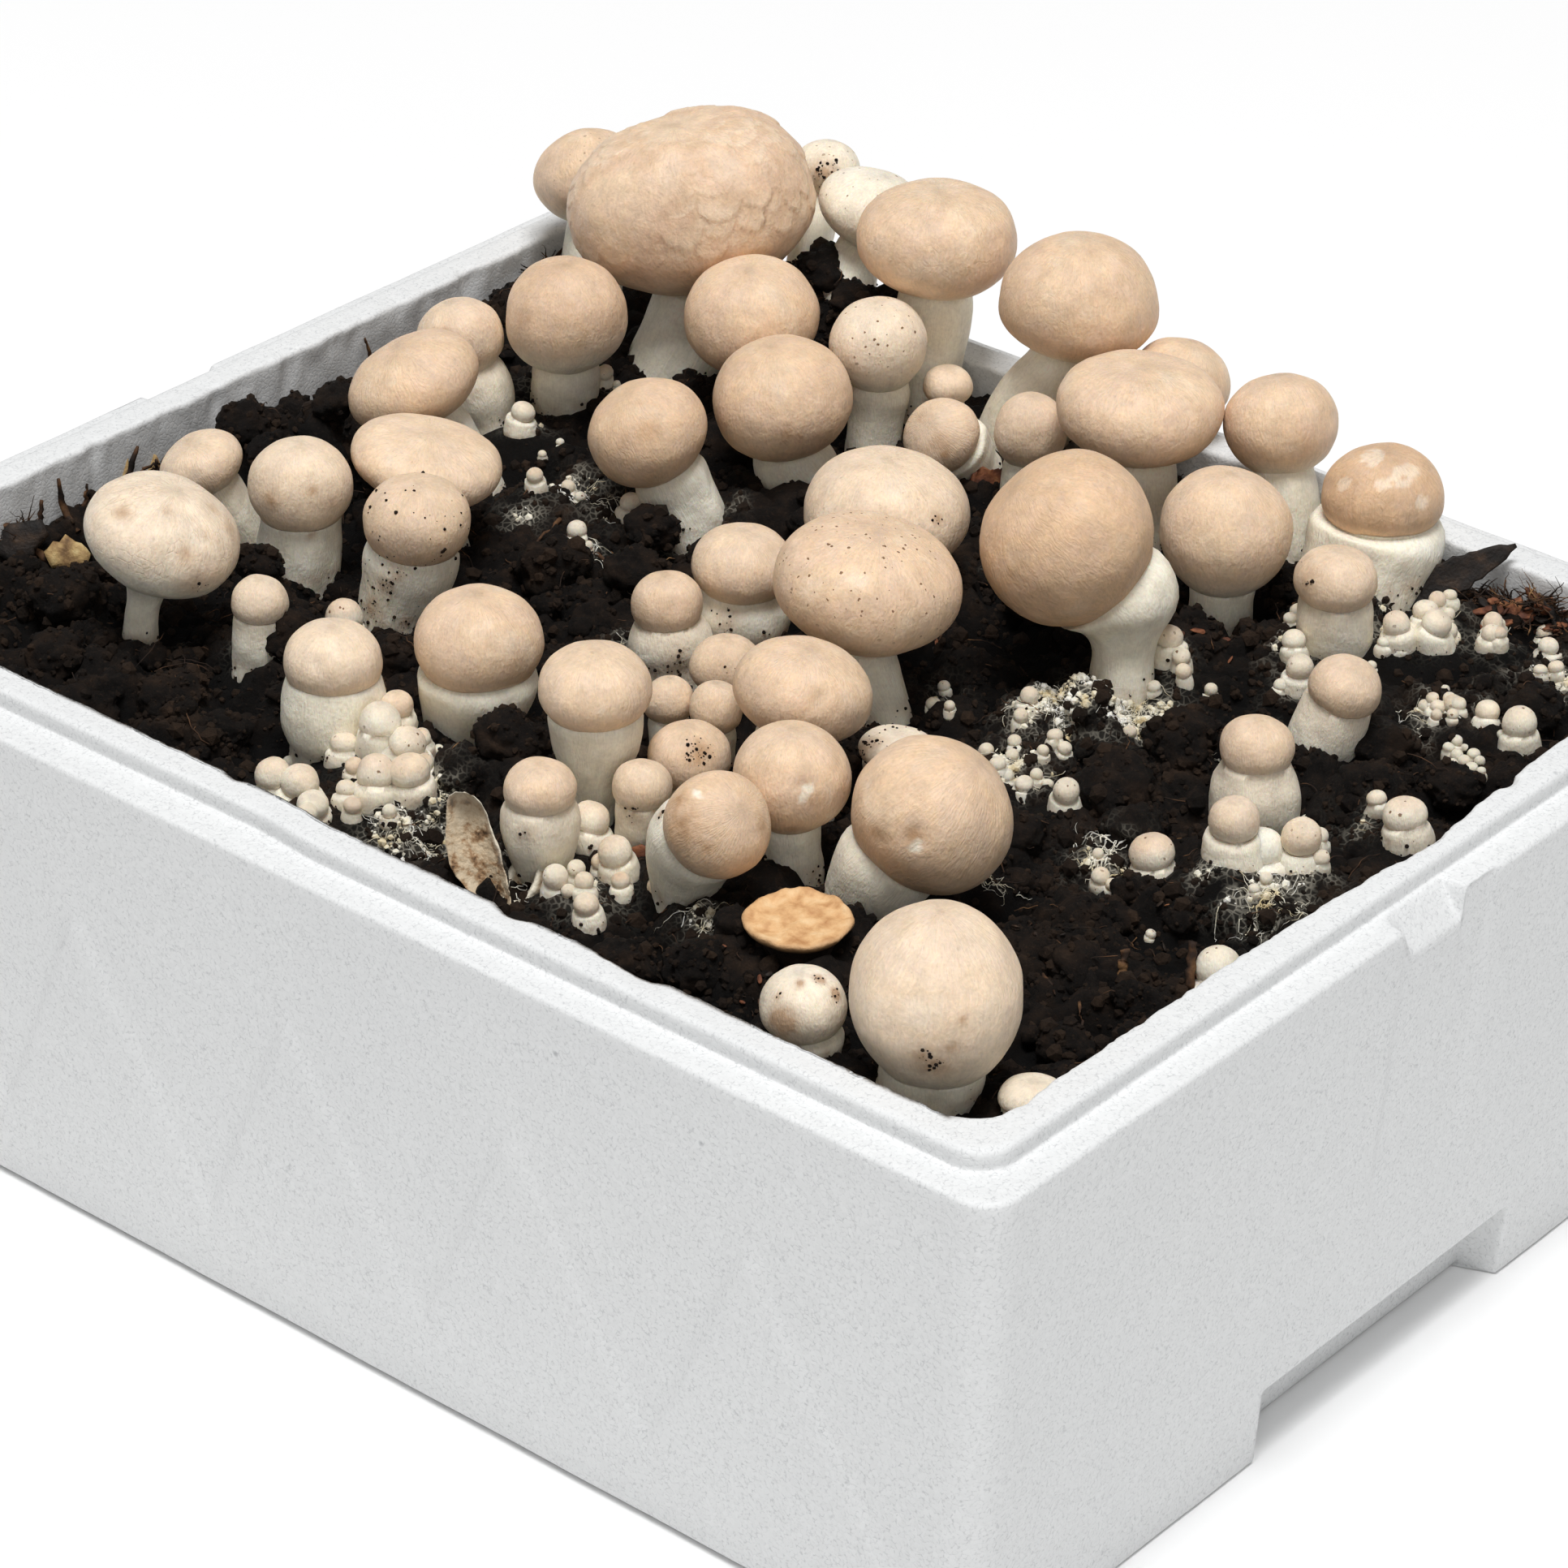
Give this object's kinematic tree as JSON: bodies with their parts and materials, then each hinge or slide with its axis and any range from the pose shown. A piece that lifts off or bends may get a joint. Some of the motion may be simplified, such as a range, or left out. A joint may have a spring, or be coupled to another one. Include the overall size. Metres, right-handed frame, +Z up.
{
  "type": "mushroom grow box",
  "caption": "White foam grow box of dark casing soil carrying a flush of brown button mushrooms; lid ledge with lift notches, hand recesses at its foot.",
  "frame": {"origin": "middle of the box's footprint, on the surface it stands on", "axes": "+Z up, +X along the box's long side, -Y towards the long wall with the zigzag relief that faces the viewer"},
  "size_m": [0.4, 0.3281, 0.1908],
  "materials": {
    "white_foam": "moulded foam, matt with a faint bead pattern",
    "casing_soil": "moist crumbly peat",
    "mushroom_skin": "smooth dry skin, paler at the stem",
    "pale_buttons": "smooth pale skin",
    "cut_flesh": "rough cut flesh, dried",
    "old_stem": "shrunken and fibrous"
  },
  "bodies": {
    "root": {"box": "white_foam", "button_twins": "pale_buttons", "cut_stub": "cut_flesh", "mushroom_01": "mushroom_skin", "mushroom_02": "mushroom_skin", "mushroom_03": "mushroom_skin", "mushroom_04": "mushroom_skin", "mushroom_05": "mushroom_skin", "mushroom_06": "mushroom_skin", "mushroom_07": "mushroom_skin", "mushroom_08": "mushroom_skin", "mushroom_09": "mushroom_skin", "mushroom_10": "mushroom_skin", "mushroom_11": "mushroom_skin", "mushroom_12": "mushroom_skin", "mushroom_13": "mushroom_skin", "mushroom_14": "mushroom_skin", "mushroom_15": "mushroom_skin", "mushroom_16": "mushroom_skin", "mushroom_17": "mushroom_skin", "mushroom_18": "mushroom_skin", "mushroom_19": "mushroom_skin", "mushroom_20": "mushroom_skin", "mushroom_21": "mushroom_skin", "mushroom_22": "mushroom_skin", "mushroom_23": "mushroom_skin", "mushroom_24": "mushroom_skin", "mushroom_25": "mushroom_skin", "mushroom_26": "mushroom_skin", "mushroom_27": "mushroom_skin", "mushroom_28": "mushroom_skin", "mushroom_29": "mushroom_skin", "mushroom_30": "mushroom_skin", "mushroom_31": "mushroom_skin", "mushroom_32": "mushroom_skin", "mushroom_33": "mushroom_skin", "mushroom_34": "mushroom_skin", "mushroom_35": "mushroom_skin", "mushroom_36": "mushroom_skin", "mushroom_37": "mushroom_skin", "mushroom_38": "mushroom_skin", "mushroom_39": "mushroom_skin", "mushroom_40": "mushroom_skin", "mushroom_41": "mushroom_skin", "mushroom_42": "mushroom_skin", "mushroom_43": "mushroom_skin", "mushroom_44": "mushroom_skin", "mushroom_45": "mushroom_skin", "mushroom_46": "mushroom_skin", "mushroom_47": "mushroom_skin", "mushroom_48": "mushroom_skin", "mushroom_49": "mushroom_skin", "mushroom_50": "mushroom_skin", "mushroom_51": "mushroom_skin", "mushroom_52": "mushroom_skin", "old_stem": "old_stem", "pin_clump_front": "pale_buttons", "pin_clump_left": "pale_buttons", "pin_clump_right": "pale_buttons", "soil": "casing_soil"}
  },
  "joints": []
}
